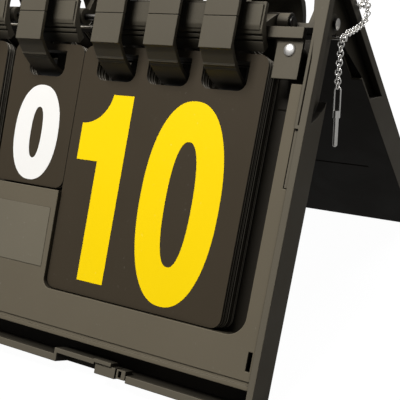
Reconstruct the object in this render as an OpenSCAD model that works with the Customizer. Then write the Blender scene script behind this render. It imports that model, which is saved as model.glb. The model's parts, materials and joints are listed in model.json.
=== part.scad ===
// Tabletop flip scoreboard: two leaning trays joined at a ridge rod, with
// number cards hung on wide ring bands. Units are millimetres.
// Each half is built in its own tray frame: x across, u down the slope from
// the ridge, h outward from the rear face. Both halves are the same moulding.

/* [Stand] */
// width of each tray across the ridge
tray_w = 385; // [340:1:420]
// depth of one tray from rear face to front rim
tray_d = 18.2; // [16:0.1:24]
// slope length from the ridge axis to the lower edge
tray_l = 189.6; // [170:0.2:210]
// lean of each tray from the vertical in degrees
lean = 33.1; // [28:0.1:36]
// thickness of the side walls
side_t = 2.2; // [1.6:0.1:3]
// width of the front rim along the sides
rim_w = 3.5; // [3:0.1:5]
// thickness of the lower wall
foot_t = 4.0; // [3:0.1:5]
// thickness of the rear wall
rear_t = 1.5; // [1.2:0.1:2.5]
// width of the flat land on the lower rear edge, cut depth
land = 0.7; // [0.3:0.1:1]

/* [Front panel] */
// height of the panel face above the rear face
panel_h = 17; // [14:0.1:18]
// thickness of the panel face
panel_t = 2.0; // [1.5:0.1:3]
// thickness of the pocket skirts
skirt_t = 1.6; // [1.2:0.1:2.5]
// width of the grip channel below the panel
grip_w = 13.8; // [12:0.1:18]
// half width of the opening for the card stacks
pocket_x = 180.8; // [176:0.1:184]
// half width of the block between the two points pockets
block_x = 54; // [50:0.1:54]
// width of the panel below the points pockets
pocket_rim = 23.8; // [18:0.1:30]
// upper edge of the centre block
block_top = 98.6; // [90:0.1:106]

/* [Cards] */
// points card width
points_w = 112; // [100:1:118]
// points card centre from the middle
points_x = 110.3; // [100:0.1:116]
// gap between a points card and the lower edge of its pocket
pocket_gap = 0.6; // [0.5:0.1:6]
// sets card width
sets_w = 50.5; // [44:0.5:51]
// sets card centre from the middle
sets_x = 28.6; // [25:0.1:29]
// sets card lower edge
sets_low = 97.6; // [88:0.1:97.8]
// upper edge of every card
card_top = 19.4; // [19.2:0.1:22]
// thickness of one card
card_t = 0.7; // [0.4:0.05:0.9]
// pitch from card to card in a stack
card_pitch = 1.05; // [0.9:0.05:1.4]
// number of cards in a points stack below the top card
points_n = 11; // [4:1:12]
// number of cards in a sets stack below the top card
sets_n = 5; // [3:1:6]
// hole width
hole_w = 25.8; // [22:0.1:28]
// hole upper edge
hole_top = 23.0; // [22.5:0.1:24]
// hole lower edge
hole_low = 37.3; // [36:0.1:40]
// spacing of the three holes of a points card
hole_pitch = 33.05; // [30:0.05:36]

/* [Rings] */
// ring band width
ring_w = 17.9; // [15:0.1:20]
// outer radius of the round part of a ring
ring_r = 35.8; // [35:0.1:36.4]
// radial thickness of a ring
ring_t = 2.3; // [2:0.1:2.8]
// distance of the flat faces from the ridge axis
flat_h = 30.2; // [29.8:0.1:30.6]
// where the flat faces end along the slope
flat_u = 21.6; // [18:0.1:22]
// where the ring halves meet along the slope
part_u = 6.6; // [3:0.1:9]
// outer radius of the card guides
guide_r = 23.5; // [21:0.1:23.6]
// front face of the card guides from the ridge axis
guide_h = 21.5; // [20:0.1:22]
// wall of the card guides
guide_t = 2.4; // [2:0.1:2.5]
// radius of the ridge rod
rod_r = 1.6; // [1.2:0.1:2]
// length of the ridge rod
rod_l = 335; // [333:0.5:336]
// running clearance round the ridge rod and the side pins
rod_gap = 0.06; // [0.03:0.01:0.1]
// radius of the side pins
side_pin_r = 1.6; // [1.2:0.1:2]

/* [Chain] */
// major radius of a chain link
link_r = 1.5; // [1.2:0.1:2]
// wire radius of a chain link
wire_r = 0.35; // [0.3:0.05:0.4]
// number of links in the retaining chain, an even number
hang_n = 22; // [22:2:22]
// number of links in the chain of the locking pin, an odd number
drape_n = 11; // [11:2:11]
// retaining pin radius
pin_r = 1.2; // [0.8:0.1:1.4]
// retaining pin length
pin_l = 13; // [10:1:20]

/* [Hidden] */
$fn = 64;
half_w = tray_w / 2;
panel_low = tray_l - grip_w;
pocket_low = panel_low - pocket_rim;
points_low = pocket_low - pocket_gap;
ridge_z = tray_l * cos(lean) - land;
ring_xs = [-144.4, -112, -78.8, -26, 26, 78.8, 112, 144.4];
leaf_x1 = 181;
leaf_x0 = 153.4;
narrow_x0 = 172.8;
stack_h0 = 2.0;
top_h0 = stack_h0 + points_n * card_pitch + 0.35;
top_h1 = top_h0 + card_t;
sets_h0 = top_h0 - 0.35 - sets_n * card_pitch;
ink_t = 0.15;
digit_low = points_low - 7.6;
rivet_x = 174.6;
rivet_u = 16.3;
leaf_h0 = 11.4;
leaf_h1 = 13.0;
hub_r = 4.7;
knuckle_l = 6;
web_out = half_w - 4.0;
web_in = web_out - 2.0;
web_t = 1.6;
web_gap = 0.2;
step_u = 80;
side_pin_l = web_out - web_in + web_t + 2.4;
stud_r = 0.65;
stud_l = 5;
stud_u = 4.5;
stud_h = 15.4;
pin_stud_u = 7.5;
pin_stud_h = 3.7;
chain_x = half_w + 2.5;
groove_u = 11.7;
sweep_r = norm([card_top, top_h0]) - 0.15;
// latches, measured from the lower edge
latch_u = tray_l - 6.2;
latch_x0 = 99;
latch_x1 = 120;
latch_h = 12;
// route of the retaining chain, from beside the pin stud to the back stud
hang = [[chain_x, -3.2, ridge_z - 3.7], [chain_x, 3.5, ridge_z - 4.4],
    [chain_x, 11.3, ridge_z - 4.8], [chain_x, 18.5, ridge_z - 4.7],
    [chain_x, 22.4, ridge_z - 3.2], [chain_x, 24.4, ridge_z - 0.4],
    [chain_x, 24.2, ridge_z + 2.6], [chain_x, 22.4, ridge_z + 5],
    [chain_x, 19.8, ridge_z + 5.9], [chain_x, 17.4, ridge_z + 5.5],
    [chain_x, stud_u * sin(lean) + stud_h * cos(lean) + 0.36,
        ridge_z - stud_u * cos(lean) + stud_h * sin(lean) + 0.14]];
// route of the chain that hangs from the pin stud
pin_y = -pin_stud_u * sin(lean) - pin_stud_h * cos(lean);
pin_z = ridge_z - pin_stud_u * cos(lean) + pin_stud_h * sin(lean);
drape = [[chain_x, pin_y, pin_z - 0.42], [chain_x, pin_y - 2.2, pin_z - 7.5],
    [chain_x, pin_y - 5, pin_z - 15], [chain_x, pin_y - 5.8, pin_z - 20.2]];
loop_l = 9.6;
loop_r = 1.5;
loop_wire = 0.4;
pin_lean = 12;

// frame helpers

module front() {
    translate([0, 0, ridge_z])
        rotate([-lean, 0, 0])
            children();
}

module back() {
    rotate([0, 0, 180])
        front()
            children();
}

// a drawing in x and minus u, pulled outward from h0 to h1
module pull_h(h0, h1) {
    translate([0, -h0, 0])
        rotate([90, 0, 0])
            linear_extrude(h1 - h0)
                children();
}

// a drawing in minus h and minus u, pulled across from x0 to x1
module pull_x(x0, x1) {
    translate([x0, 0, 0])
        rotate([90, 0, 90])
            linear_extrude(x1 - x0)
                children();
}

module slab(x0, x1, u0, u1, h0, h1) {
    translate([x0, -h1, -u1])
        cube([x1 - x0, h1 - h0, u1 - u0]);
}

module stud(x, u, r, h0, h1) {
    translate([x, -h0, -u])
        rotate([90, 0, 0])
            cylinder(r = r, h = h1 - h0);
}

// everything below the table top is cut away
module on_table() {
    difference() {
        children();
        translate([-300, -300, -40])
            cube([600, 600, 40]);
    }
}

// shell

module round_rect(x0, x1, u0, u1, r) {
    translate([x0, -u1 + r])
        square([x1 - x0, u1 - u0 - r]);
    translate([x0 + r, -u1])
        square([x1 - x0 - 2 * r, r + 0.01]);
    translate([x0 + r, -u1 + r])
        circle(r = r);
    translate([x1 - r, -u1 + r])
        circle(r = r);
}

// region above the curved edge, where the side wall steps inward
module arc_zone(g) {
    difference() {
        translate([-tray_d - 1, -60])
            square([tray_d + 9, 80]);
        difference() {
            translate([-tray_d - 30, -120])
                square([tray_d + 60, 120 - 21]);
            translate([-28.1, -21])
                circle(r = 31.8 + g);
        }
    }
}

// the same region of the other end, with a slanting edge
module slant_zone(g) {
    polygon([[8, 20], [8, -46.9 - g], [-tray_d - 1, -77.4 - g],
        [-tray_d - 1, 20]]);
}

// outline of a side, from the lower wall up past the ridge
module side_outline() {
    top = 12;
    stop = top * tan(lean) + 0.25;
    difference() {
        polygon([[0, -tray_l], [0, -0.3], [-stop, top], [-tray_d, top],
            [-tray_d, -tray_l]]);
        circle(r = side_pin_r + 0.4);
    }
    difference() {
        circle(r = hub_r);
        circle(r = side_pin_r + rod_gap);
    }
}

// side of the tray: s is the end, x the outer face of the inset web
module side(s, x) {
    mirror([s < 0 ? 1 : 0, 0, 0]) {
        difference() {
            pull_x(half_w - side_t, half_w)
                side_outline();
            pull_x(half_w - side_t - 1, half_w + 1)
                if (s > 0)
                    arc_zone(0);
                else
                    slant_zone(0);
        }
        pull_x(x - web_t, x)
            intersection() {
                side_outline();
                if (s > 0)
                    arc_zone(1.6);
                else
                    slant_zone(1.6);
            }
        pull_x(x - web_t, half_w - 0.2)
            intersection() {
                side_outline();
                difference() {
                    if (s > 0)
                        arc_zone(1.6);
                    else
                        slant_zone(1.6);
                    if (s > 0)
                        arc_zone(0);
                    else
                        slant_zone(0);
                }
            }
        // front rim
        slab(half_w - rim_w, half_w, -12, tray_l - 7, tray_d - 5.2, tray_d);
        // bridge from the rim to the inset web
        slab(x - web_t, half_w - 1, -12, step_u, panel_h - panel_t, panel_h);
        // gusset that widens the rim toward its top
        pull_h(tray_d - 2.6, tray_d)
            polygon([[half_w - rim_w + 0.2, -24], [half_w - rim_w + 0.2, 12],
                [184.7, 12], [184.7, 5], [185.4, 0], [187.7, -7],
                [188.6, -18]]);
    }
}

module shell_body() {
    // rear wall
    pull_h(0, rear_t)
        round_rect(-half_w, half_w, 40, tray_l, 6);
    // rim along the lower wall
    pull_h(0, tray_d)
        difference() {
            round_rect(-half_w, half_w, tray_l - 69.6, tray_l, 6);
            translate([-half_w + side_t, -tray_l + foot_t])
                square([tray_w - 2 * side_t, tray_l]);
            translate([-half_w - 1, -tray_l + 29.6])
                square([tray_w + 2, 60]);
        }
    side(1, web_out);
    side(-1, web_in);
    // ends of the rear wall rise to the ridge, with tongues and bosses that
    // carry the hinge leaves
    for (s = [-1, 1]) {
        slab(min(s * 155, s * (web_out - 1.5)), max(s * 155, s * (web_out - 1.5)),
            8, 42, 0, rear_t);
        slab(min(s * 168.5, s * 180.5), max(s * 168.5, s * 180.5),
            10, 42, 0, 2);
        stud(s * rivet_x, rivet_u, 4, 1.8, leaf_h0);
    }
    // raised runs beside the latches
    for (s = [-1, 1])
        slab(min(s * 71, s * (latch_x0 - 0.2)), max(s * 71, s * (latch_x0 - 0.2)),
            latch_u - 1.3, tray_l - 2, 5, tray_d);
}

module shell() {
    difference() {
        shell_body();
        // finger steps under the raised runs
        for (s = [-1, 1])
            slab(min(s * 73, s * latch_x0), max(s * 73, s * latch_x0),
                latch_u + 1.5, tray_l + 1, 8, tray_d + 1);
        // seats of the latch parts
        for (s = [-1, 1])
            slab(min(s * latch_x0, s * latch_x1), max(s * latch_x0, s * latch_x1),
                latch_u, tray_l + 1, latch_h - 0.1, tray_d + 1);
        // seam line across the rear face
        slab(-177, 177, 122.6, 123.4, -1, 0.4);
        // rivet holes
        for (s = [-1, 1])
            stud(s * rivet_x, rivet_u, 1.6, -1, leaf_h0 + 1);
    }
}

// panel

// pocket outline: small radius toward the middle, large toward the sides
module pocket_side(g) {
    a = block_x - g;
    b = pocket_x + g;
    translate([a, -pocket_low - g + 10 + g])
        square([b - a, pocket_low - 20 - 10]);
    translate([a + 5 + g, -pocket_low - g])
        square([b - a - 15 - 2 * g, 20]);
    translate([a + 5 + g, -pocket_low + 5])
        circle(r = 5 + g);
    translate([a, -pocket_low + 5])
        square([20, 6]);
    translate([b - 10 - g, -pocket_low + 10])
        circle(r = 10 + g);
}

module pocket(g) {
    pocket_side(g);
    mirror([1, 0])
        pocket_side(g);
    translate([-block_x - 20, -block_top - g])
        square([2 * block_x + 40, block_top + g - 20]);
}

module panel() {
    px = half_w - rim_w - 0.1;
    difference() {
        union() {
            // face
            pull_h(panel_h - panel_t, panel_h)
                difference() {
                    translate([-px, -panel_low])
                        square([2 * px, panel_low - 32.5]);
                    pocket(0);
                }
            // skirts round the pockets
            pull_h(rear_t, panel_h - panel_t)
                difference() {
                    intersection() {
                        pocket(skirt_t);
                        translate([-px, -panel_low])
                            square([2 * px, panel_low - 51.5]);
                    }
                    pocket(0);
                }
            // lower skirt over the grip channel
            slab(-px, px, panel_low - skirt_t, panel_low,
                rear_t, panel_h - panel_t);
            // floor of the sets pocket
            slab(-block_x, block_x, 44, block_top + 0.4,
                sets_h0 - 2.0, sets_h0 - 0.5);
            for (s = [-1, 1])
                slab(min(s * (block_x - skirt_t), s * block_x),
                    max(s * (block_x - skirt_t), s * block_x),
                    44, block_top + 1, rear_t, sets_h0 - 2.0);
        }
        // room for the inset webs beside the hinge
        slab(web_out - web_t - web_gap, half_w, 20, step_u + web_gap, 0, tray_d);
        slab(-half_w, web_t + web_gap - web_in, 20, step_u + web_gap, 0, tray_d);
        // slots beside the side walls
        for (s = [-1, 1])
            slab(min(s * 185.4, s * 187.6), max(s * 185.4, s * 187.6),
                panel_low - 18.2, panel_low - 9, 10, panel_h + 1);
        // soft step along the lower edge
        slab(-px - 1, px + 1, panel_low - 4.2, panel_low - 2.4,
            panel_h - 0.5, panel_h + 1);
    }
}

module label() {
    slab(-block_x + 3.4, block_x - 3.4, block_top + 10.1, pocket_low - 10.7,
        panel_h, panel_h + 0.3);
}

// hinge leaves: plate with a rolled lip, and a knuckle round the ridge rod

module knuckle(k0, k1) {
    translate([k0, 0, 0])
        rotate([0, 90, 0])
            cylinder(r = hub_r, h = k1 - k0);
}

module leaf_bores(k0, k1) {
    translate([k0 - 1, 0, 0])
        rotate([0, 90, 0])
            cylinder(r = rod_r + rod_gap, h = k1 - k0 + 2);
    stud(rivet_x, rivet_u, 1.6, 8, 20);
}

// wide leaf: a rolled lip runs inward to the knuckle
module leaf_right() {
    k0 = leaf_x0 + 0.4;
    k1 = k0 + knuckle_l;
    difference() {
        union() {
            slab(leaf_x0, leaf_x1, 6.1, 11.3, leaf_h0, leaf_h1 + 2);
            slab(167.5, leaf_x1, 11, 29.7, leaf_h0, leaf_h1);
            pull_x(k0, k1)
                polygon([[-4, 3], [-13, -3.5], [-leaf_h0 - 1.4, -11.2],
                    [-leaf_h0, -11.2], [-leaf_h0, -9.2], [0, -4.2], [0, 0]]);
            knuckle(k0, k1);
        }
        leaf_bores(k0, k1);
    }
}

// narrow leaf: a low bar runs inward to the knuckle
module leaf_left() {
    k0 = leaf_x0 + knuckle_l + 1;
    k1 = k0 + knuckle_l;
    mirror([1, 0, 0])
        difference() {
            union() {
                slab(narrow_x0, leaf_x1, 6.1, 29.7, leaf_h0, leaf_h1);
                slab(narrow_x0, leaf_x1, 3.4, 7.4, 0.4, leaf_h1);
                slab(k0, leaf_x1, 3.4, 8, 0.4, 3.4);
                knuckle(k0, k1);
            }
            leaf_bores(k0, k1);
        }
}

module rivets() {
    for (s = [-1, 1]) {
        stud(s * rivet_x, rivet_u, 1.55, 0.5, leaf_h1 + 0.5);
        translate([s * rivet_x, -leaf_h1, -rivet_u])
            intersection() {
                translate([0, 1.9, 0])
                    sphere(r = 3.6);
                translate([-5, -5, -5])
                    cube([10, 5, 10]);
            }
    }
}

// latch parts that hold the halves together when the case is packed

module latch_hook() {
    lip = tray_d + 0.3;
    slab(latch_x0 + 1, latch_x0 + 14.2, latch_u, tray_l - 0.4, latch_h, lip);
    slab(latch_x0, latch_x0 + 11.5, latch_u - 2, latch_u, latch_h + 1, lip + 0.9);
    difference() {
        slab(latch_x1 - 5.8, latch_x1 - 0.2, latch_u, tray_l - 1.2, latch_h, lip);
        slab(latch_x1 - 4.6, latch_x1 - 2.8, latch_u + 0.8, tray_l - 2,
            latch_h + 2, lip + 1.7);
    }
    slab(latch_x0 + 14, latch_x0 + 15.4, latch_u + 1.2, tray_l - 1.2,
        latch_h, tray_d - 1.6);
}

module latch_catch() {
    difference() {
        slab(-latch_x1 + 0.2, -latch_x0 - 1, latch_u, tray_l - 0.4,
            latch_h, tray_d + 0.3);
        slab(-latch_x1 + 1.6, -latch_x0 - 8, latch_u + 1.4, tray_l - 1.8,
            latch_h + 3, tray_d + 1);
    }
}

// ridge rod, spools and rings

module rod() {
    translate([-rod_l / 2, 0, ridge_z])
        rotate([0, 90, 0])
            cylinder(r = rod_r, h = rod_l);
}

module caps() {
    for (s = [-1, 1])
        translate([s * (rod_l / 2 - 0.5) - 0.4, 0, ridge_z])
            rotate([0, 90, 0])
                difference() {
                    cylinder(r = rod_r + 1.6, h = 0.8);
                    translate([0, 0, -1])
                        cylinder(r = rod_r, h = 3);
                }
}

// headed pins at the ridge that join the sides of both trays
module pins() {
    for (s = [0, 1])
        mirror([s, 0, 0])
            translate([web_in - web_t - 1.2, 0, ridge_z])
                rotate([0, 90, 0]) {
                    cylinder(r = side_pin_r + 1.1, h = 0.9);
                    cylinder(r = side_pin_r, h = side_pin_l);
                    translate([0, 0, side_pin_l - 0.3])
                        cylinder(r = side_pin_r + 1.1, h = 0.9);
                }
}

// drawing of y and z about the ridge, kept inside both flat faces
module faced(r, f) {
    intersection() {
        circle(r = r);
        rotate(180 - lean)
            translate([-60, -60])
                square([60 + f, 120]);
        rotate(lean)
            translate([-60, -60])
                square([60 + f, 120]);
    }
}

module upper_zone(g) {
    intersection() {
        rotate(-lean)
            translate([-60, -part_u + g])
                square([120, 80]);
        rotate(lean)
            translate([-60, -part_u + g])
                square([120, 80]);
    }
}

module ring_round() {
    difference() {
        union() {
            faced(ring_r, flat_h);
            rotate(-lean)
                translate([-flat_h, -flat_u])
                    square([2.2, 2 * flat_u]);
            rotate(lean)
                translate([flat_h - 2.2, -flat_u])
                    square([2.2, 2 * flat_u]);
            for (a = [-1, 1]) {
                rotate(-90 - a * (lean + 40))
                    translate([ring_r - 0.15, 0])
                        circle(r = 0.7);
                rotate(-90 - a * (lean + 36))
                    translate([ring_r - 0.15, 0])
                        circle(r = 0.55);
            }
        }
        faced(ring_r - ring_t, flat_h - ring_t);
    }
}

module at_rings(w) {
    for (c = ring_xs)
        translate([0, 0, ridge_z])
            pull_x(c - w / 2, c + w / 2)
                children();
}

module arches() {
    at_rings(ring_w)
        intersection() {
            ring_round();
            upper_zone(0.06);
        }
}

module hooks() {
    at_rings(ring_w)
        difference() {
            ring_round();
            upper_zone(-0.06);
        }
    // spokes and hubs that tie each ring to the ridge rod
    front()
        for (c = ring_xs) {
            difference() {
                slab(c - 3, c + 3, 1, ring_r - 1.2, -1.4, 1.4);
                bore(c);
            }
            difference() {
                translate([c - 4, 0, 0])
                    rotate([0, 90, 0])
                        cylinder(r = hub_r, h = 8);
                bore(c);
            }
        }
}

module bore(c) {
    translate([c - 30, 0, 0])
        rotate([0, 90, 0])
            cylinder(r = rod_r, h = 60);
}

// card guide in one tray's frame: a bent cover carried by a web and a hub
module sector(a0, a1, r) {
    polygon(concat([[0, 0]],
        [for (a = [a0, (a0 + a1) / 2, a1]) [-r * sin(a), -r * cos(a)]]));
}

module guide_curve() {
    intersection() {
        difference() {
            intersection() {
                circle(r = guide_r);
                translate([-guide_h, -40])
                    square([60, 80]);
            }
            circle(r = guide_h - guide_t);
        }
        sector(38.5, 98, 60);
    }
}

module guide(x0, x1, b0, b1, w0, bore_r) {
    difference() {
        union() {
            pull_x(x0, x1)
                guide_curve();
            // raised block, kept inside the sweep of a turning card
            intersection() {
                slab(b0, b1, -1.6, groove_u, guide_h - 0.1, guide_h + 0.9);
                pull_x(b0, b1)
                    circle(r = sweep_r);
            }
        }
        // two grooves with a ridge between them
        slab(x0 + 0.5, x1 + 1, groove_u, groove_u + 0.7,
            guide_r - 4.1, guide_r);
        slab(x0 + 0.5, x1 + 1, groove_u + 2.2, groove_u + 2.8,
            guide_r - 5.6, guide_r);
    }
    // web and hub
    pull_x(w0, w0 + 3)
        difference() {
            union() {
                intersection() {
                    circle(r = guide_h - guide_t + 0.4);
                    sector(48, 94, 40);
                }
                circle(r = hub_r);
            }
            circle(r = bore_r);
        }
}

// the outer guides are short, clear of the hinge leaves
module guides_front() {
    for (c = ring_xs) {
        x1 = c > 140 ? c + 18.4 : c + 23.5;
        guide(c - 8.5, x1, c + 7.4, x1 - 1, c + 5, rod_r);
    }
}

module guides_back() {
    for (c = ring_xs) {
        outer = c < -140;
        x0 = outer ? c - 18.4 : c - 23.5;
        guide(x0, outer ? c + 8.5 : c + 4.5, x0 + 1, c - 7.4,
            outer ? c + 5 : c - 12, rod_r + rod_gap);
    }
}

// cards

module card_outline(cx, w, low) {
    r = 5.5;
    translate([cx - w / 2, -low + r])
        square([w, low - card_top - 2 * r]);
    translate([cx - w / 2 + r, -low])
        square([w - 2 * r, low - card_top]);
    for (x = [cx - w / 2 + r, cx + w / 2 - r], y = [-low + r, -card_top - r])
        translate([x, y])
            circle(r = r);
}

module hole(cx) {
    r = 5;
    translate([cx - hole_w / 2, -hole_low + r])
        square([hole_w, hole_low - hole_top - r]);
    translate([cx - hole_w / 2 + r, -hole_low])
        square([hole_w - 2 * r, r + 0.01]);
    for (s = [-1, 1])
        translate([cx + s * (hole_w / 2 - r), -hole_low + r])
            circle(r = r);
}

module points_face(s) {
    difference() {
        card_outline(s * points_x, points_w, points_low);
        for (k = [-1, 0, 1])
            hole(s * points_x + k * hole_pitch);
    }
}

module sets_face(s) {
    difference() {
        card_outline(s * sets_x, sets_w, sets_low);
        hole(s * sets_x);
    }
}

module points_stack(s) {
    for (k = [0 : points_n - 1])
        pull_h(stack_h0 + k * card_pitch, stack_h0 + k * card_pitch + card_t)
            points_face(s);
}

module sets_stack(s) {
    for (k = [0 : sets_n - 1])
        pull_h(sets_h0 + k * card_pitch, sets_h0 + k * card_pitch + card_t)
            sets_face(s);
}

module points_top(s) {
    pull_h(top_h0, top_h1)
        points_face(s);
}

module sets_top(s) {
    pull_h(top_h0, top_h1)
        sets_face(s);
}

// numerals

function oval(a, b, e, n) = [for (k = [0 : n - 1])
    let (t = 360 * k / n, c = cos(t), s = sin(t))
        [a * sign(c) * pow(abs(c), 2 / e), b * sign(s) * pow(abs(s), 2 / e)]];

module zero(cx, cu, w, l, cw, cl) {
    translate([cx, -cu])
        difference() {
            polygon(oval(w / 2, l / 2, 2.25, 72));
            polygon(oval(cw / 2, cl / 2, 2.35, 60));
        }
}

module one(x0) {
    difference() {
        union() {
            translate([x0 + 14, -digit_low])
                square([17.2, digit_low - 44.4]);
            translate([x0, -80])
                square([20, 35.6]);
        }
        translate([x0 - 0.3, -42.2])
            circle(r = 18.3);
    }
}

module seven(cx) {
    translate([cx - 24, -60.5])
        square([48, 16.1]);
    polygon([[cx + 6, -52], [cx + 24, -52], [cx + 24, -60.5],
        [cx + 3, -digit_low], [cx - 16, -digit_low], [cx + 5.6, -60.5]]);
}

module ink(h0) {
    pull_h(h0, h0 + ink_t)
        children();
}

module ten(s) {
    o = s * points_x;
    l = digit_low - 40.4;
    one(o - 49.3);
    zero(o + 20.1, 43.9 + l / 2, 47.3, l, 15.9, l - 40.3);
}

module small_zero(s) {
    zero(s * sets_x, 68.8, 32.2, 52.9, 8.1, 28.5);
}

module small_one(s) {
    x = s * sets_x;
    translate([x - 3, -94.6])
        square([8.6, 51.6]);
    polygon([[x - 3, -43], [x - 11, -52], [x - 11, -61], [x - 2.9, -53]]);
}

// chain

// point at length l along the route p
function along(p, l, i = 0) =
    let (d = norm(p[i + 1] - p[i]))
        l <= d || i == len(p) - 2 ? p[i] + (p[i + 1] - p[i]) * l / d
            : along(p, l - d, i + 1);

// length of the route p
function route_l(p, i = 0) =
    i == len(p) - 1 ? 0 : norm(p[i + 1] - p[i]) + route_l(p, i + 1);

module torus(major, minor) {
    rotate([90, 0, 0])
        rotate_extrude()
            translate([major, 0])
                circle(r = minor);
}

// n links along the route p, turned a quarter from link to link
module chain(p, n, turn) {
    pitch = route_l(p) / (n - 1);
    for (k = [0 : n - 1]) {
        c = along(p, k * pitch);
        d = along(p, k * pitch + 0.4) - along(p, k * pitch - 0.4);
        translate(c)
            rotate([0, acos(d[2] / norm(d)), atan2(d[1], d[0])])
                rotate([0, 0, (k + turn) % 2 * 90])
                    torus(link_r, wire_r);
    }
}

// headed stud that stands out of a side at u and h
module chain_stud(s, x, u, h) {
    mirror([s < 0 ? 1 : 0, 0, 0])
        translate([x, -h, -u])
            rotate([0, 90, 0]) {
                cylinder(r = stud_r, h = half_w + stud_l - x);
                translate([0, 0, half_w + stud_l - x - 0.8])
                    cylinder(r = stud_r + 0.65, h = 0.8);
            }
}

// one stud carries the locking pin, the other the retaining chain
module chain_studs() {
    chain_stud(1, web_out, pin_stud_u, pin_stud_h);
    chain_stud(-1, half_w, stud_u, stud_h);
}

module upper_chain() {
    chain(hang, hang_n, 1);
}

module lower_chain() {
    chain(drape, drape_n, 0);
}

// locking pin with the wire loop it hangs by
module pin() {
    top = drape[len(drape) - 1] + [0, 0, -2.2];
    translate(top)
        rotate([-pin_lean, 0, 0]) {
            intersection() {
                torus(loop_r, loop_wire);
                translate([-5, -5, 0])
                    cube([10, 10, 5]);
            }
            for (s = [-1, 1])
                translate([s * loop_r, 0, -loop_l])
                    cylinder(r = loop_wire, h = loop_l);
            translate([0, 0, -loop_l - 3.2])
                cylinder(r = loop_r + loop_wire - 0.1, h = 3.4);
            translate([0, 0, -loop_l - 3 - pin_l])
                cylinder(r = pin_r, h = pin_l);
            translate([0, 0, -loop_l - 3 - pin_l])
                sphere(r = pin_r);
        }
}

// nodes

module front_shell() {
    color([0.2, 0.19, 0.17])
        on_table()
            front()
                shell();
}

module back_shell() {
    color([0.2, 0.19, 0.17])
        on_table()
            back()
                shell();
}

module front_panel() {
    color([0.24, 0.23, 0.21])
        front()
            panel();
}

module back_panel() {
    color([0.24, 0.23, 0.21])
        back()
            panel();
}

module front_label() {
    color([0.27, 0.26, 0.24])
        front()
            label();
}

module back_label() {
    color([0.27, 0.26, 0.24])
        back()
            label();
}

module front_leaf_right() {
    color([0.26, 0.25, 0.23])
        front()
            leaf_right();
}

module front_leaf_left() {
    color([0.26, 0.25, 0.23])
        front()
            leaf_left();
}

module back_leaf_right() {
    color([0.26, 0.25, 0.23])
        back()
            leaf_right();
}

module back_leaf_left() {
    color([0.26, 0.25, 0.23])
        back()
            leaf_left();
}

module front_rivets() {
    color([0.8, 0.8, 0.8])
        front()
            rivets();
}

module back_rivets() {
    color([0.8, 0.8, 0.8])
        back()
            rivets();
}

module front_latch_hook() {
    color([0.25, 0.23, 0.2])
        front()
            latch_hook();
}

module front_latch_catch() {
    color([0.25, 0.23, 0.2])
        front()
            latch_catch();
}

module back_latch_hook() {
    color([0.25, 0.23, 0.2])
        back()
            latch_hook();
}

module back_latch_catch() {
    color([0.25, 0.23, 0.2])
        back()
            latch_catch();
}

module ridge_rod() {
    color([0.7, 0.7, 0.7])
        rod();
}

module rod_caps() {
    color([0.12, 0.12, 0.12])
        caps();
}

module side_pins() {
    color([0.6, 0.6, 0.6])
        pins();
}

module front_guides() {
    color([0.22, 0.21, 0.19])
        front()
            guides_front();
}

module back_guides() {
    color([0.22, 0.21, 0.19])
        back()
            guides_back();
}

module ring_arches() {
    color([0.3, 0.29, 0.26])
        arches();
}

module ring_hooks() {
    color([0.3, 0.29, 0.26])
        hooks();
}

module front_points_stack_right() {
    color([0.16, 0.14, 0.12])
        front()
            points_stack(1);
}

module front_points_stack_left() {
    color([0.16, 0.14, 0.12])
        front()
            points_stack(-1);
}

module front_sets_stack_right() {
    color([0.16, 0.14, 0.12])
        front()
            sets_stack(1);
}

module front_sets_stack_left() {
    color([0.16, 0.14, 0.12])
        front()
            sets_stack(-1);
}

module points_card_right() {
    color([0.17, 0.15, 0.13])
        front()
            points_top(1);
}

module points_card_left() {
    color([0.17, 0.15, 0.13])
        front()
            points_top(-1);
}

module sets_card_right() {
    color([0.17, 0.15, 0.13])
        front()
            sets_top(1);
}

module sets_card_left() {
    color([0.17, 0.15, 0.13])
        front()
            sets_top(-1);
}

module points_numeral_right() {
    color([1, 0.85, 0.05])
        front()
            ink(top_h1)
                ten(1);
}

module points_numeral_left() {
    color([1, 0.85, 0.05])
        front()
            ink(top_h1)
                seven(-points_x);
}

module sets_numeral_right() {
    color([0.95, 0.95, 0.94])
        front()
            ink(top_h1)
                small_zero(1);
}

module sets_numeral_left() {
    color([0.95, 0.95, 0.94])
        front()
            ink(top_h1)
                small_one(-1);
}

module back_points_stack_right() {
    color([0.16, 0.14, 0.12])
        back() {
            points_stack(1);
            points_top(1);
        }
}

module back_points_stack_left() {
    color([0.16, 0.14, 0.12])
        back() {
            points_stack(-1);
            points_top(-1);
        }
}

module back_sets_stack_right() {
    color([0.16, 0.14, 0.12])
        back() {
            sets_stack(1);
            sets_top(1);
        }
}

module back_sets_stack_left() {
    color([0.16, 0.14, 0.12])
        back() {
            sets_stack(-1);
            sets_top(-1);
        }
}

module back_points_numerals() {
    color([1, 0.85, 0.05])
        back()
            ink(top_h1) {
                ten(-1);
                seven(points_x);
            }
}

module back_sets_numerals() {
    color([0.95, 0.95, 0.94])
        back()
            ink(top_h1) {
                small_zero(-1);
                small_one(1);
            }
}

module front_chain_studs() {
    color([0.75, 0.75, 0.75])
        front()
            chain_studs();
}

module back_chain_studs() {
    color([0.75, 0.75, 0.75])
        back()
            chain_studs();
}

module retaining_chain() {
    color([0.85, 0.85, 0.86])
        upper_chain();
}

module pin_chain() {
    color([0.85, 0.85, 0.86])
        lower_chain();
}

module locking_pin() {
    color([0.85, 0.85, 0.86])
        pin();
}

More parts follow.
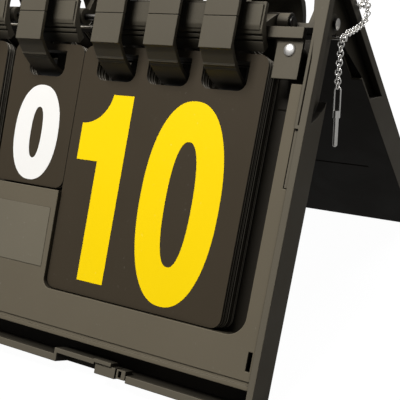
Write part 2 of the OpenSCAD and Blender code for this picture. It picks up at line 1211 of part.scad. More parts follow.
front_shell();
front_panel();
front_label();
front_leaf_right();
front_leaf_left();
front_rivets();
front_latch_hook();
front_latch_catch();
back_shell();
back_panel();
back_label();
back_leaf_right();
back_leaf_left();
back_rivets();
back_latch_hook();
back_latch_catch();
ridge_rod();
rod_caps();
side_pins();
front_guides();
back_guides();
ring_arches();
ring_hooks();
front_points_stack_right();
front_points_stack_left();
front_sets_stack_right();
front_sets_stack_left();
points_card_right();
points_card_left();
sets_card_right();
sets_card_left();
points_numeral_right();
points_numeral_left();
sets_numeral_right();
sets_numeral_left();
back_points_stack_right();
back_points_stack_left();
back_sets_stack_right();
back_sets_stack_left();
back_points_numerals();
back_sets_numerals();
front_chain_studs();
back_chain_studs();
retaining_chain();
pin_chain();
locking_pin();
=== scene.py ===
"""Looks of a tabletop flip scoreboard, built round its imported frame.

The case is two leaning halves joined at a ridge rod. Number cards hang on
wide bands over the ridge. Units are metres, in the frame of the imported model.
"""

import json
import logging
import math
from dataclasses import dataclass
from enum import Enum

import bmesh
import bpy
from mathutils import Matrix, Vector

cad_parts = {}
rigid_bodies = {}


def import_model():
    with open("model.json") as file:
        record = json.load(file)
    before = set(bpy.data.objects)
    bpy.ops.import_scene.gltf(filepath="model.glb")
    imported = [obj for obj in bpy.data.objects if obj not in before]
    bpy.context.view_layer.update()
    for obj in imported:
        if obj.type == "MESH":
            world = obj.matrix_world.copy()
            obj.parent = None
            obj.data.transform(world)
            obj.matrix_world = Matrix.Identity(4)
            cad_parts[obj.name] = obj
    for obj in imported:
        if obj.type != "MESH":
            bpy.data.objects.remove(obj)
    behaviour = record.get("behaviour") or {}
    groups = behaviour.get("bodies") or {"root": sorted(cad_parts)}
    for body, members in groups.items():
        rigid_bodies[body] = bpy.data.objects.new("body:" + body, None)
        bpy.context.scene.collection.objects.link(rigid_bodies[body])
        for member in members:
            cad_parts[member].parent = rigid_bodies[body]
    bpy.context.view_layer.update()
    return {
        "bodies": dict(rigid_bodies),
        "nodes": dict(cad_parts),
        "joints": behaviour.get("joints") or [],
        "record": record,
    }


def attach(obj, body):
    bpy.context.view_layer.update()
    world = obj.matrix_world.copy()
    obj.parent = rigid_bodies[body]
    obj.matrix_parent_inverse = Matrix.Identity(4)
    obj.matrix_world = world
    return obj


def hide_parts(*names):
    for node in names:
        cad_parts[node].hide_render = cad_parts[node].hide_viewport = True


log = logging.getLogger("scoreboard")

RIDGE_Z = 0.15813
LEAN = math.radians(33.1)
WHITE = (1, 1, 1, 1)
Colour = tuple[float, float, float]


class Half(Enum):
    """The two halves of the case, with the turn that places each."""

    FRONT = "front"
    BACK = "back"

    @property
    def body(self) -> str:
        """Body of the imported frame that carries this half.

        Returns:
            The body's name.
        """
        return f"{self.value}_half"

    @property
    def placing(self) -> Matrix:
        """Matrix from tray sizes (x, outward, down the slope) to the frame.

        Returns:
            The matrix.
        """
        tray = Matrix(
            (
                (1, 0, 0, 0),
                (0, -math.cos(LEAN), -math.sin(LEAN), 0),
                (0, math.sin(LEAN), -math.cos(LEAN), RIDGE_Z),
                (0, 0, 0, 1),
            )
        )
        turn = math.pi if self is Half.BACK else 0.0
        return Matrix.Rotation(turn, 4, "Z") @ tray


class Effect(Enum):
    """Shader groups that several finishes share."""

    GRAIN = "moulded_grain"
    WEAR = "handling_wear"
    # painted shade in recesses, from ambient occlusion
    RECESS = "recess_grime"
    FACING = "facing_outward"
    SHEETS = "sheet_lines"


class Wiring:
    """Small helper that adds and joins nodes in one tree."""

    # sockets of a Mix node that mixes colours
    SHARE, FIRST, SECOND, MIXED = 0, 6, 7, 2

    def __init__(self, tree: bpy.types.NodeTree) -> None:
        """Keeps the tree.

        Args:
            tree: The node tree to fill.
        """
        self.tree = tree

    def add(self, kind: str, **inputs: object) -> bpy.types.Node:
        """Adds a node and sets or joins its inputs.

        Args:
            kind: Blender's name of the node type.
            **inputs: Socket names, with underscores for spaces, to a value or
                a socket. A name that starts with at_ sets a node property, and
                an underscore with digits names a socket by its number.

        Returns:
            The new node.
        """
        node = self.tree.nodes.new(kind)
        for name, value in inputs.items():
            if name.startswith("at_"):
                setattr(node, name[3:], value)
        for name, value in inputs.items():
            if name.startswith("at_"):
                continue
            key: object = int(name[1:]) if name[1:].isdigit() else name.replace("_", " ")
            socket = node.inputs[key]
            if isinstance(value, bpy.types.NodeSocket):
                self.tree.links.new(value, socket)
            else:
                socket.default_value = value
        return node

    def math(self, how: str, a: object, b: object = 0.0) -> bpy.types.NodeSocket:
        """Adds a Math node.

        Args:
            how: The operation.
            a: First value or socket.
            b: Second value or socket.

        Returns:
            The result socket.
        """
        node = self.add("ShaderNodeMath", at_operation=how, _0=a, _1=b)
        return node.outputs[0]

    def spread(self, value: object, low: float, high: float) -> bpy.types.NodeSocket:
        """Stretches the values from low to high over 0 to 1, clamped.

        Args:
            value: The socket to stretch.
            low: Value that becomes 0.
            high: Value that becomes 1.

        Returns:
            The stretched socket.
        """
        node = self.add("ShaderNodeMapRange", Value=value, From_Min=low, From_Max=high)
        return node.outputs["Result"]

    def blend(self, share: object, first: object, second: object) -> bpy.types.NodeSocket:
        """Mixes two colours.

        Args:
            share: Share of the second colour.
            first: First colour or socket.
            second: Second colour or socket.

        Returns:
            The mixed colour socket.
        """
        node = self.tree.nodes.new("ShaderNodeMix")
        node.data_type = "RGBA"
        for index, value in ((self.SHARE, share), (self.FIRST, first), (self.SECOND, second)):
            if isinstance(value, bpy.types.NodeSocket):
                self.tree.links.new(value, node.inputs[index])
            else:
                node.inputs[index].default_value = value
        return node.outputs[self.MIXED]


class Effects:
    """Builds each shared shader group once."""

    def __init__(self) -> None:
        """Builds all the groups."""
        self.groups: dict[Effect, bpy.types.NodeTree] = {
            Effect.GRAIN: self._grain(),
            Effect.WEAR: self._wear(),
            Effect.RECESS: self._recess(),
            Effect.FACING: self._facing(),
            Effect.SHEETS: self._sheets(),
        }

    @staticmethod
    def _start(
        effect: Effect, inputs: dict[str, float | None], outputs: dict[str, str]
    ) -> tuple[bpy.types.NodeTree, Wiring, bpy.types.Node, bpy.types.Node]:
        """Makes an empty group with its sockets.

        Args:
            effect: The effect, whose value names the group.
            inputs: Input names to defaults, None for a vector.
            outputs: Output names to socket types.

        Returns:
            The tree, its wiring, the input node and the output node.
        """
        tree = bpy.data.node_groups.new(effect.value, "ShaderNodeTree")
        for name, default in inputs.items():
            kind = "NodeSocketVector" if default is None else "NodeSocketFloat"
            socket = tree.interface.new_socket(name, in_out="INPUT", socket_type=kind)
            if default is not None:
                socket.default_value = default
        for name, kind in outputs.items():
            tree.interface.new_socket(name, in_out="OUTPUT", socket_type=kind)
        wiring = Wiring(tree)
        return tree, wiring, wiring.add("NodeGroupInput"), wiring.add("NodeGroupOutput")

    def use(self, w: Wiring, effect: Effect, **inputs: object) -> bpy.types.Node:
        """Adds a shared group to a material.

        Args:
            w: Wiring of the material.
            effect: The effect.
            **inputs: Its inputs, as Wiring.add takes them.

        Returns:
            The group node.
        """
        return w.add("ShaderNodeGroup", at_node_tree=self.groups[effect], **inputs)

    def _grain(self) -> bpy.types.NodeTree:
        """Fine pebbled grain of a spark-eroded mould.

        Returns:
            A group that puts out a height and a mottling mask.
        """
        tree, w, into, out = self._start(
            Effect.GRAIN,
            {"Vector": None, "Grains per metre": 1800.0, "Unevenness": 0.5},
            {"Height": "NodeSocketFloat", "Mottling": "NodeSocketFloat"},
        )
        fine_share, pebble_share, pebble_scale = 0.6, 0.4, 0.7
        patches_per_metre, patch_low, patch_high = 22.0, 0.3, 0.7
        spot, size = into.outputs["Vector"], into.outputs["Grains per metre"]
        fine = w.add("ShaderNodeTexNoise", Vector=spot, Scale=size, Detail=3.0)
        pebble = w.add(
            "ShaderNodeTexVoronoi",
            at_feature="SMOOTH_F1",
            Vector=spot,
            Scale=w.math("MULTIPLY", size, pebble_scale),
        )
        height = w.math(
            "ADD",
            w.math("MULTIPLY", fine.outputs["Fac"], fine_share),
            w.math("MULTIPLY", pebble.outputs["Distance"], pebble_share),
        )
        broad = w.add("ShaderNodeTexNoise", Vector=spot, Scale=patches_per_metre, Detail=4.0)
        mottle = w.math(
            "MULTIPLY",
            w.spread(broad.outputs["Fac"], patch_low, patch_high),
            into.outputs["Unevenness"],
        )
        tree.links.new(height, out.inputs["Height"])
        tree.links.new(mottle, out.inputs["Mottling"])
        return tree

    def _wear(self) -> bpy.types.NodeTree:
        """Hairline scuffs and polished smears from handling.

        Returns:
            A group that puts out a scuff mask and a smear mask.
        """
        tree, w, into, out = self._start(
            Effect.WEAR,
            {"Vector": None, "Scuffs": 0.4, "Smears": 0.5},
            {"Scuff mask": "NodeSocketFloat", "Smear mask": "NodeSocketFloat"},
        )
        hair_low, hair_high, hairs_per_metre = 0.73, 0.8, 520.0
        patch_low, patch_high, patches_per_metre = 0.5, 0.68, 14.0
        smear_low, smear_high, smears_per_metre = 0.38, 0.72, 34.0
        spot = into.outputs["Vector"]
        lines: list[bpy.types.NodeSocket] = []
        for angle, stretch in ((0.5, 0.06), (2.1, 0.09)):
            turned = w.add(
                "ShaderNodeMapping",
                Vector=spot,
                Rotation=(0.3, angle, angle * 0.4),
                Scale=(1.0, stretch, 1.0),
            )
            hair = w.add(
                "ShaderNodeTexNoise", Vector=turned.outputs[0], Scale=hairs_per_metre, Detail=1.0
            )
            lines.append(w.spread(hair.outputs["Fac"], hair_low, hair_high))
        patch = w.add("ShaderNodeTexNoise", Vector=spot, Scale=patches_per_metre, Detail=2.0)
        patches = w.spread(patch.outputs["Fac"], patch_low, patch_high)
        scuffs = w.math("MULTIPLY", w.math("MAXIMUM", *lines), patches)
        smear = w.add(
            "ShaderNodeTexNoise", Vector=spot, Scale=smears_per_metre, Detail=5.0, Distortion=0.6
        )
        smears = w.spread(smear.outputs["Fac"], smear_low, smear_high)
        for mask, strength, target in (
            (scuffs, "Scuffs", "Scuff mask"),
            (smears, "Smears", "Smear mask"),
        ):
            shown = w.math("MULTIPLY", mask, into.outputs[strength])
            tree.links.new(shown, out.inputs[target])
        return tree

    def _recess(self) -> bpy.types.NodeTree:
        """Painted shade that darkens narrow recesses, measured from open space.

        Returns:
            A group that puts out a mask, 1 deep in a recess.
        """
        tree, w, into, out = self._start(
            Effect.RECESS,
            {"Reach": 0.024, "Strength": 1.0},
            {"Mask": "NodeSocketFloat"},
        )
        # how closed the space is where the painted shade starts and where it is full
        unshaded, fully_shaded = 0.14, 0.55
        open_space = w.add(
            "ShaderNodeAmbientOcclusion",
            at_samples=8,
            Distance=into.outputs["Reach"],
        )
        closed = w.math("SUBTRACT", 1.0, open_space.outputs["AO"])
        tree.links.new(
            w.math("MULTIPLY", w.spread(closed, unshaded, fully_shaded), into.outputs["Strength"]),
            out.inputs["Mask"],
        )
        return tree

    def _facing(self) -> bpy.types.NodeTree:
        """How far a face looks outward from its tray.

        Returns:
            A group that puts out the facing, from 1 outward to -1 inward, and
            the height of the point over the ridge along that direction.
        """
        tree, w, into, out = self._start(
            Effect.FACING,
            {"Vector": None, "Normal": None, "Turned": 1.0},
            {"Facing": "NodeSocketFloat", "Height": "NodeSocketFloat"},
        )
        across = w.math("MULTIPLY", into.outputs["Turned"], -math.cos(LEAN))
        outward = w.add("ShaderNodeCombineXYZ", Y=across, Z=math.sin(LEAN))
        for source, target in (("Normal", "Facing"), ("Vector", "Height")):
            along = w.add(
                "ShaderNodeVectorMath",
                at_operation="DOT_PRODUCT",
                _0=into.outputs[source],
                _1=outward.outputs[0],
            )
            tree.links.new(along.outputs["Value"], out.inputs[target])
        return tree

    def _sheets(self) -> bpy.types.NodeTree:
        """Uneven pale lines where sheets of card were cut.

        Returns:
            A group that puts out a mask, 1 on the palest edges.
        """
        tree, w, into, out = self._start(
            Effect.SHEETS,
            {"Vector": None, "Facing": 0.0, "Height": 0.0},
            {"Mask": "NodeSocketFloat"},
        )
        edge_facing, sways_per_metre, sway_height = 0.6, 9.0, 0.0007
        lines_per_metre, dull, pale = 950.0, 0.48, 0.62
        edge = w.math("LESS_THAN", w.math("ABSOLUTE", into.outputs["Facing"]), edge_facing)
        sway = w.add(
            "ShaderNodeTexNoise", Vector=into.outputs["Vector"], Scale=sways_per_metre, Detail=1.0
        )
        shift = w.math("MULTIPLY", sway.outputs["Fac"], sway_height)
        lines = w.add(
            "ShaderNodeTexNoise",
            at_noise_dimensions="1D",
            W=w.math("ADD", into.outputs["Height"], shift),
            Scale=lines_per_metre,
            Detail=1.0,
        )
        tree.links.new(
            w.math("MULTIPLY", edge, w.spread(lines.outputs["Fac"], dull, pale)),
            out.inputs["Mask"],
        )
        return tree


def blank(name: str) -> tuple[bpy.types.Material, Wiring, bpy.types.Node]:
    """Makes a material with nodes, ready to be wired.

    Args:
        name: Name of the material.

    Returns:
        The material, its wiring and its shader node.
    """
    material = bpy.data.materials.new(name)
    material.use_nodes = True
    return material, Wiring(material.node_tree), material.node_tree.nodes["Principled BSDF"]


@dataclass(frozen=True)
class MouldedFinish:
    """Moulded or sheet plastic with grain, mottling and handling marks."""

    name: str
    colour: Colour
    worn: Colour
    roughness: float = 0.5
    specular: float = 0.15
    grains: float = 1800.0
    depth: float = 0.00006
    unevenness: float = 0.4
    scuffs: float = 0.35
    smears: float = 0.5
    # strength of the shade painted in recesses
    painted_shade: float = 0.94
    cut_edge: Colour | None = None
    # dark colour painted as shade on inward faces and on faces deep in the tray; floor_h sets that
    # depth
    inner_shade: Colour | None = None
    floor_h: float = 0.004
    turned: float = 1.0
    tint: Colour = (1.0, 0.94, 0.85)
    mottled_share: float = 0.86
    # share of the colour that the painted shade in recesses darkens to
    painted_shade_share: float = 0.12
    dull: float = 0.05
    polish: float = 0.16

    def make(self, effects: Effects) -> bpy.types.Material:
        """Builds the material.

        Args:
            effects: The shared shader groups.

        Returns:
            The material.
        """
        material, w, shader = blank(self.name)
        tree = w.tree
        place = w.add("ShaderNodeTexCoord")
        spot = place.outputs["Object"]
        grain = effects.use(
            w,
            Effect.GRAIN,
            Vector=spot,
            Grains_per_metre=self.grains,
            Unevenness=self.unevenness,
        )
        wear = effects.use(
            w, Effect.WEAR, Vector=spot, Scuffs=self.scuffs, Smears=self.smears
        )
        darker = tuple(c * self.mottled_share for c in self.colour)
        base = w.blend(grain.outputs["Mottling"], (*self.colour, 1), (*darker, 1))
        base = w.blend(wear.outputs["Scuff mask"], base, (*self.worn, 1))
        # painted shade: recesses darken towards a dark copy of the colour
        recess = effects.use(w, Effect.RECESS, Strength=self.painted_shade)
        painted_shade = tuple(c * self.painted_shade_share for c in self.colour)
        base = w.blend(recess.outputs["Mask"], base, (*painted_shade, 1))
        if self.cut_edge is not None or self.inner_shade is not None:
            base = self._by_facing(w, effects, place, base)
        tree.links.new(base, shader.inputs["Base Color"])
        polished = w.math("MULTIPLY", wear.outputs["Smear mask"], self.polish)
        rough = w.math("SUBTRACT", self.roughness + self.dull, polished)
        tree.links.new(rough, shader.inputs["Roughness"])
        shader.inputs["Specular IOR Level"].default_value = self.specular
        shader.inputs["Specular Tint"].default_value = (*self.tint, 1)
        bump = w.add(
            "ShaderNodeBump", Strength=0.5, Distance=self.depth, Height=grain.outputs["Height"]
        )
        tree.links.new(bump.outputs[0], shader.inputs["Normal"])
        return material

    def _by_facing(
        self, w: Wiring, effects: Effects, place: bpy.types.Node, base: bpy.types.NodeSocket
    ) -> bpy.types.NodeSocket:
        """Colours cut edges, and paints shade on inward faces and deep tray floors, by the way
        they face.

        Args:
            w: Wiring of the material.
            effects: The shared shader groups.
            place: The texture coordinate node.
            base: Colour so far.

        Returns:
            The new colour socket.
        """
        facing = effects.use(
            w,
            Effect.FACING,
            Vector=place.outputs["Object"],
            Normal=place.outputs["Normal"],
            Turned=self.turned,
        )
        # painted shade: inward faces, and outward faces deep in the tray, take the dark colour
        if self.inner_shade is not None:
            flat_on = 0.5
            inward = w.math("LESS_THAN", facing.outputs["Facing"], -flat_on)
            outward = w.math("GREATER_THAN", facing.outputs["Facing"], flat_on)
            floor = RIDGE_Z * math.sin(LEAN) + self.floor_h
            deep = w.math("LESS_THAN", facing.outputs["Height"], floor)
            inside = w.math("MAXIMUM", inward, w.math("MULTIPLY", outward, deep))
            base = w.blend(inside, base, (*self.inner_shade, 1))
        if self.cut_edge is not None:
            sheets = effects.use(
                w,
                Effect.SHEETS,
                Vector=place.outputs["Object"],
                Facing=facing.outputs["Facing"],
                Height=facing.outputs["Height"],
            )
            base = w.blend(sheets.outputs["Mask"], base, (*self.cut_edge, 1))
        return base


@dataclass(frozen=True)
class PlatedFinish:
    """Bright plated steel with faint drawing lines and tarnish."""

    name: str
    colour: Colour = (0.92, 0.90, 0.86)
    tarnish: Colour = (0.3, 0.25, 0.18)
    roughness: float = 0.2
    # strength and colour of the shade painted in recesses
    painted_shade_strength: float = 0.0
    painted_shade: Colour = (0.02, 0.018, 0.015)
    grains: float = 900.0
    depth: float = 0.00003
    unevenness: float = 0.6
    scuffs: float = 0.6
    smears: float = 0.5
    tarnished_share: float = 0.5
    uneven_polish: float = 0.2

    def make(self, effects: Effects) -> bpy.types.Material:
        """Builds the material.

        Args:
            effects: The shared shader groups.

        Returns:
            The material.
        """
        material, w, shader = blank(self.name)
        tree = w.tree
        spot = w.add("ShaderNodeTexCoord").outputs["Object"]
        grain = effects.use(
            w,
            Effect.GRAIN,
            Vector=spot,
            Grains_per_metre=self.grains,
            Unevenness=self.unevenness,
        )
        wear = effects.use(
            w, Effect.WEAR, Vector=spot, Scuffs=self.scuffs, Smears=self.smears
        )
        tarnished = w.math("MULTIPLY", wear.outputs["Smear mask"], self.tarnished_share)
        base = w.blend(tarnished, (*self.colour, 1), (*self.tarnish, 1))
        # painted shade: recesses darken towards a near-black colour
        recess = effects.use(w, Effect.RECESS, Strength=self.painted_shade_strength)
        base = w.blend(recess.outputs["Mask"], base, (*self.painted_shade, 1))
        tree.links.new(base, shader.inputs["Base Color"])
        uneven = w.math("MULTIPLY", grain.outputs["Mottling"], self.uneven_polish)
        rough = w.math("ADD", self.roughness, uneven)
        tree.links.new(rough, shader.inputs["Roughness"])
        shader.inputs["Metallic"].default_value = 1.0
        bump = w.add(
            "ShaderNodeBump", Strength=0.3, Distance=self.depth, Height=grain.outputs["Height"]
        )
        tree.links.new(bump.outputs[0], shader.inputs["Normal"])
        return material


class Finishes:
    """The finishes of the scoreboard, one material each."""

    def __init__(self, effects: Effects) -> None:
        """Builds every material.

        Args:
            effects: The shared shader groups.
        """
        body: Colour = (0.118, 0.103, 0.076)
        face: Colour = (0.133, 0.113, 0.079)
        worn: Colour = (0.24, 0.22, 0.18)
        card: Colour = (0.046, 0.0355, 0.0225)
        # colour painted as shade inside the case halves
        dark: Colour = (0.012, 0.010, 0.007)
        # the recess strengths here and below set how strongly shade is painted in recesses
        sheet = {
            "cut_edge": (0.55, 0.51, 0.43),
            "grains": 2600.0,
            "depth": 0.00002,
            "scuffs": 0.2,
            "painted_shade": 0.6,
        }
        ink = {"grains": 3000.0, "depth": 0.00001, "unevenness": 0.12, "painted_shade": 0.0}
        ring: Colour = (0.106, 0.093, 0.069)
        plate: Colour = (0.160, 0.141, 0.103)
        yellow, yellow_worn = (1.0, 0.70, 0.003), (1.0, 0.8, 0.2)
        white, white_worn = (0.92, 0.90, 0.86), (0.7, 0.7, 0.68)
        finishes = (
            *(
                MouldedFinish(
                    f"{half.value}_{kind}", colour, worn, rough, inner_shade=dark, turned=turned
                )
                for half, turned in ((Half.FRONT, 1.0), (Half.BACK, -1.0))
                for kind, colour, rough in (("case", body, 0.52), ("panel", face, 0.48))
            ),
            MouldedFinish("ring_plastic", ring, worn, 0.4, depth=0.00004, painted_shade=0.97),
            MouldedFinish("guide_plastic", (0.110, 0.097, 0.072), worn, 0.42),
            MouldedFinish("label_plate", plate, worn, 0.4, depth=0.00002, painted_shade=0.3),
            MouldedFinish("cap_plastic", (0.012, 0.012, 0.012), worn, 0.3, 0.5),
            MouldedFinish("front_card", card, worn, 0.5, 0.14, **sheet),
            MouldedFinish("back_card", card, worn, 0.5, 0.14, turned=-1.0, **sheet),
            MouldedFinish("numeral_yellow", yellow, yellow_worn, 0.42, 0.12, **ink),
            MouldedFinish("numeral_white", white, white_worn, 0.45, 0.15, **ink),
            PlatedFinish("bright_steel"),
            PlatedFinish("rivet_steel", (0.95, 0.93, 0.90), roughness=0.4),
            PlatedFinish("rod_steel", (0.6, 0.58, 0.55), roughness=0.3, painted_shade_strength=1.0),
        )
        self.made: dict[str, bpy.types.Material] = {f.name: f.make(effects) for f in finishes}

    def put(self, piece: bpy.types.Object, name: str) -> None:
        """Gives a piece one finish.

        Args:
            piece: The mesh object.
            name: Name of the finish.
        """
        piece.data.materials.clear()
        piece.data.materials.append(self.made[name])


class Workshop:
    """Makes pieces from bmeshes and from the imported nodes."""

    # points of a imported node, and of a spun piece, that count as one
    NODE_WELD, SPUN_WELD = 2e-6, 1e-6
    # faces that bend less than this are one face
    FLAT_ANGLE = math.radians(1.0)
    # edges that bend more than this are eased
    SHARP_ANGLE = math.radians(35)

    def __init__(self, frame: dict, finishes: Finishes) -> None:
        """Keeps the frame and the finishes.

        Args:
            finishes: The materials.
        """
        self.nodes: dict[str, bpy.types.Object] = frame["nodes"]
        self.finishes = finishes

    def dress(self, node: str, finish: str) -> None:
        """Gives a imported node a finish.

        Args:
            node: Name of the node.
            finish: Name of the finish.
        """
        self.finishes.put(self.nodes[node], finish)

    def piece(
        self, name: str, mesh: bmesh.types.BMesh, body: str, finish: str, slot: str
    ) -> bpy.types.Object:
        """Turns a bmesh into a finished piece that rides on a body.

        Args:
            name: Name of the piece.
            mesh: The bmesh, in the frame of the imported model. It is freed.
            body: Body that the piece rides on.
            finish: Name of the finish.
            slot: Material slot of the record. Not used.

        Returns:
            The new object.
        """
        data = bpy.data.meshes.new(name)
        mesh.to_mesh(data)
        mesh.free()
        made = bpy.data.objects.new(name, data)
        bpy.context.scene.collection.objects.link(made)
        self.finishes.put(made, finish)
        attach(made, body)
        log.info("%s: %d faces on %s", name, len(data.polygons), body)
        return made

    def eased(self, node: str, body: str, finish: str, slot: str, ease: float) -> bpy.types.Object:
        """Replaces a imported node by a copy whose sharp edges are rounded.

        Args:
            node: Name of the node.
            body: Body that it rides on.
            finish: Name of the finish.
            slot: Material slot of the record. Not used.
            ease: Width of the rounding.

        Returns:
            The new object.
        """
        mesh = bmesh.new()
        mesh.from_mesh(self.nodes[node].data)
        bmesh.ops.remove_doubles(mesh, verts=mesh.verts, dist=self.NODE_WELD)
        bmesh.ops.dissolve_limit(
            mesh, angle_limit=self.FLAT_ANGLE, verts=mesh.verts, edges=mesh.edges
        )
        for face in mesh.faces:
            face.smooth = True
        made = self.piece(f"{node}_eased", mesh, body, finish, slot)
        bevel = made.modifiers.new("eased_edges", "BEVEL")
        bevel.width = ease
        bevel.segments = 2
        bevel.limit_method = "ANGLE"
        bevel.angle_limit = self.SHARP_ANGLE
        bevel.use_clamp_overlap = False
        flat = made.modifiers.new("flat_faces", "WEIGHTED_NORMAL")
        flat.keep_sharp = True
        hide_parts(node)
        return made

    def spun(self, profile: list[tuple[float, float]], steps: int = 32) -> bmesh.types.BMesh:
        """Spins a profile of radius and height round the upright axis.

        Args:
            profile: Radius and height of each point, from the axis outward.
            steps: Number of steps in the full turn.

        Returns:
            A closed bmesh with smooth faces.
        """
        mesh = bmesh.new()
        points = [mesh.verts.new((r, 0.0, z)) for r, z in profile]
        edges = [mesh.edges.new(pair) for pair in zip(points, points[1:])]
        bmesh.ops.spin(
            mesh,
            geom=points + edges,
            axis=(0, 0, 1),
            cent=(0, 0, 0),
            angle=math.tau,
            steps=steps,
            use_merge=True,
        )
        bmesh.ops.remove_doubles(mesh, verts=mesh.verts, dist=self.SPUN_WELD)
        bmesh.ops.recalc_face_normals(mesh, faces=mesh.faces)
        for face in mesh.faces:
            face.smooth = True
        return mesh


@dataclass
class CaseHalf:
    """One moulded half of the case, with its panel, leaves and latches."""

    half: Half
    ease: float = 0.0004
    rivet_x: float = 0.1746
    rivet_u: float = 0.0163
    rivet_h: float = 0.0130
    rivet_r: float = 0.0029

    def build(self, shop: Workshop) -> None:
        """Builds and dresses the whole half.

        Args:
            shop: Makes and dresses the pieces.
        """
        self.mouldings(shop)
        self.rivets(shop)

    def mouldings(self, shop: Workshop) -> None:
        """Rounds the edges of the plastic mouldings.

        Args:
            shop: Makes and dresses the pieces.
        """
        side, body = self.half.value, self.half.body
        eased = (
            ("shell", f"{side}_case", "case_plastic", 1.0),
            ("panel", f"{side}_panel", "case_plastic", 1.0),
            ("label", "label_plate", "label_plate", 0.6),
            ("leaf_right", f"{side}_case", "case_plastic", 0.7),
            ("leaf_left", f"{side}_case", "case_plastic", 0.7),
            ("latch_hook", f"{side}_case", "case_plastic", 0.6),
            ("latch_catch", f"{side}_case", "case_plastic", 0.6),
            ("guides", "guide_plastic", "case_plastic", 0.6),
        )
        for part, finish, slot, share in eased:
            shop.eased(f"{side}_{part}", body, finish, slot, self.ease * share)

    def rivets(self, shop: Workshop) -> None:
        """Replaces the plain rivets by domed ones with a rolled rim.

        Args:
            shop: Makes and dresses the pieces.
        """
        r = self.rivet_r
        # radius and height, from the crown over the rolled rim down the shank
        profile = [
            (0.0, 0.0016),
            (r * 0.35, 0.00152),
            (r * 0.7, 0.00118),
            (r * 0.9, 0.00072),
            (r, 0.0003),
            (r, 0.0),
            (r * 0.5, -0.0001),
            (r * 0.5, -0.0110),
            (0.0, -0.0110),
        ]
        whole = bmesh.new()
        for side in (-1, 1):
            head = shop.spun(profile)
            # the spun axis stands along the outward direction of the tray
            stand = Matrix(((1, 0, 0, 0), (0, 0, 1, 0), (0, -1, 0, 0), (0, 0, 0, 1)))
            put = Matrix.Translation((side * self.rivet_x, self.rivet_h, self.rivet_u))
            head.transform(self.half.placing @ put @ stand)
            spare = bpy.data.meshes.new("rivet_spare")
            head.to_mesh(spare)
            head.free()
            whole.from_mesh(spare)
            bpy.data.meshes.remove(spare)
        name = f"{self.half.value}_rivets"
        made = shop.piece(f"{name}_domed", whole, self.half.body, "rivet_steel", "bright_steel")
        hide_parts(name)


@dataclass
class RidgeGallery:
    """The ring bands over the ridge and the rod they stand on."""

    ease: float = 0.00035

    def build(self, shop: Workshop) -> None:
        """Dresses the bands, the rod and its caps.

        Args:
            shop: Makes and dresses the pieces.
        """
        shop.eased("ring_arches", "front_half", "ring_plastic", "ring_plastic", self.ease)
        shop.eased("ring_hooks", "front_half", "ring_plastic", "ring_plastic", self.ease)
        for node in ("ridge_rod", "side_pins"):
            shop.dress(node, "rod_steel")
        shop.dress("rod_caps", "cap_plastic")


@dataclass
class CardPiles:
    """The piles of number cards, the cards that turn and their numbers."""

    sides: tuple[str, ...] = ("right", "left")

    def build(self, shop: Workshop) -> None:
        """Dresses the piles, the turning cards and the numbers.

        Args:
            shop: Makes and dresses the pieces.
        """
        for half in Half:
            for kind in ("points", "sets"):
                for side in self.sides:
                    shop.dress(f"{half.value}_{kind}_stack_{side}", f"{half.value}_card")
        for side in self.sides:
            for kind in ("points", "sets"):
                shop.dress(f"{kind}_card_{side}", "front_card")
            shop.dress(f"points_numeral_{side}", "numeral_yellow")
            shop.dress(f"sets_numeral_{side}", "numeral_white")
        shop.dress("back_points_numerals", "numeral_yellow")
        shop.dress("back_sets_numerals", "numeral_white")


@dataclass
class ChainSet:
    """The studs, the retaining chain and the locking pin on its chain."""

    nodes: tuple[str, ...] = (
        "front_chain_studs",
        "back_chain_studs",
        "retaining_chain",
        "pin_chain",
        "locking_pin",
    )

    def build(self, shop: Workshop) -> None:
        """Dresses the chains, studs and pin.

        Args:
            shop: Makes and dresses the pieces.
        """
        for node in self.nodes:
            shop.dress(node, "bright_steel")


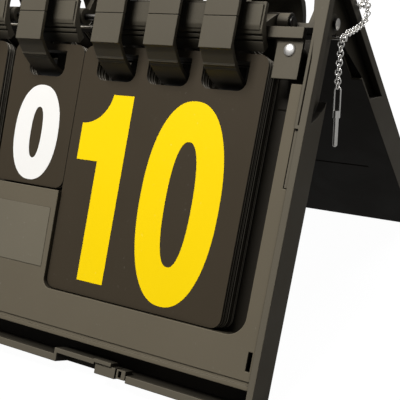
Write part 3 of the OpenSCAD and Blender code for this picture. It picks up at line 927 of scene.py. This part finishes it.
@dataclass
class Studio:
    """Pale floor, soft lamps and the camera of the photograph."""

    place: tuple[float, float, float] = (0.3486, -0.3516, 0.2605)
    turn: float = math.radians(36.614)
    tilt: float = math.radians(32.759)
    roll: float = math.radians(8.479)
    focal: float = 797.7
    picture: float = 400.0
    sensor: float = 36.0
    rise: float = 0.25025
    lamps: tuple[tuple[str, tuple[float, float, float], float, float], ...] = (
        ("key", (-0.10, -0.40, 1.46), 0.5, 27.0),
        ("fill", (0.95, -0.78, 0.60), 0.6, 1.0),
        ("rear", (0.30, 1.15, 0.95), 0.8, 11.0),
    )
    aim: tuple[float, float, float] = (0, 0, 0.08)
    ambient: float = 0.045
    mirrored: float = 0.24
    floor_size: float = 8.0
    floor_shade: float = 0.06
    floor_glow: float = 0.98

    def build(self) -> None:
        """Sets up the whole studio."""
        self.floor()
        self.sky()
        self.light()
        self.camera()
        bpy.context.scene.view_settings.view_transform = "Standard"

    def floor(self) -> None:
        """Lays a white floor that shows the object's soft shadow."""
        mesh = bmesh.new()
        bmesh.ops.create_grid(mesh, x_segments=1, y_segments=1, size=self.floor_size)
        data = bpy.data.meshes.new("floor")
        mesh.to_mesh(data)
        mesh.free()
        floor = bpy.data.objects.new("floor", data)
        bpy.context.scene.collection.objects.link(floor)
        material = bpy.data.materials.new("floor_white")
        material.use_nodes = True
        tree = material.node_tree
        tree.nodes.clear()
        w = Wiring(tree)
        seen = w.add("ShaderNodeLightPath")
        plain = w.add("ShaderNodeBsdfDiffuse", Color=(*[self.floor_shade] * 3, 1))
        glow = w.add("ShaderNodeEmission", Color=WHITE, Strength=self.floor_glow)
        share = w.math(
            "MAXIMUM",
            seen.outputs["Is Camera Ray"],
            w.math("MULTIPLY", seen.outputs["Is Glossy Ray"], self.mirrored),
        )
        both = w.add("ShaderNodeAddShader", _0=plain.outputs[0], _1=glow.outputs[0])
        pick = w.add("ShaderNodeMixShader", _0=share, _1=plain.outputs[0], _2=both.outputs[0])
        w.add("ShaderNodeOutputMaterial", Surface=pick.outputs[0])
        data.materials.append(material)

    def sky(self) -> None:
        """Makes a world that looks white and lights the object softly."""
        world = bpy.data.worlds.new("studio_white")
        world.use_nodes = True
        bpy.context.scene.world = world
        tree = world.node_tree
        tree.nodes.clear()
        w = Wiring(tree)
        seen = w.add("ShaderNodeLightPath")
        soft = w.add("ShaderNodeBackground", Color=WHITE, Strength=self.ambient)
        white = w.add("ShaderNodeBackground", Color=WHITE, Strength=1.0)
        bounced = w.math(
            "MAXIMUM", seen.outputs["Is Glossy Ray"], seen.outputs["Is Transmission Ray"]
        )
        share = w.math(
            "MAXIMUM",
            seen.outputs["Is Camera Ray"],
            w.math("MULTIPLY", bounced, self.mirrored),
        )
        pick = w.add("ShaderNodeMixShader", _0=share, _1=soft.outputs[0], _2=white.outputs[0])
        w.add("ShaderNodeOutputWorld", Surface=pick.outputs[0])

    def light(self) -> None:
        """Hangs the soft lamps, all turned to the middle of the case."""
        for name, place, size, power in self.lamps:
            lamp = bpy.data.lights.new(name, "AREA")
            lamp.size = size
            lamp.energy = power
            hung = bpy.data.objects.new(name, lamp)
            hung.location = place
            hung.rotation_mode = "QUATERNION"
            ahead = Vector(self.aim) - Vector(place)
            hung.rotation_quaternion = ahead.to_track_quat("-Z", "Y")
            bpy.context.scene.collection.objects.link(hung)

    def camera(self) -> None:
        """Puts the camera where the photograph was taken from."""
        sin_a, cos_a = math.sin(self.turn), math.cos(self.turn)
        sin_e, cos_e = math.sin(self.tilt), math.cos(self.tilt)
        ahead = Vector((-sin_a * cos_e, cos_a * cos_e, -sin_e))
        right = Vector((cos_a, sin_a, 0))
        down = ahead.cross(right)
        across = math.cos(self.roll) * right + math.sin(self.roll) * down
        below = -math.sin(self.roll) * right + math.cos(self.roll) * down
        lens = bpy.data.cameras.new("photo_camera")
        lens.sensor_width = self.sensor
        lens.lens = self.focal / self.picture * self.sensor
        lens.shift_y = self.rise
        lens.clip_start = 0.01
        camera = bpy.data.objects.new("photo_camera", lens)
        pose = Matrix((across, -below, -ahead)).transposed().to_4x4()
        pose.translation = Vector(self.place)
        camera.matrix_world = pose
        bpy.context.scene.collection.objects.link(camera)
        bpy.context.scene.camera = camera


def main() -> None:
    """Builds the scoreboard's looks."""
    logging.basicConfig(level=logging.INFO, format="%(name)s: %(message)s")
    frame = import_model()
    shop = Workshop(frame, Finishes(Effects()))
    for half in Half:
        CaseHalf(half).build(shop)
    RidgeGallery().build(shop)
    CardPiles().build(shop)
    ChainSet().build(shop)
    Studio().build()


if __name__ == "__main__":
    main()
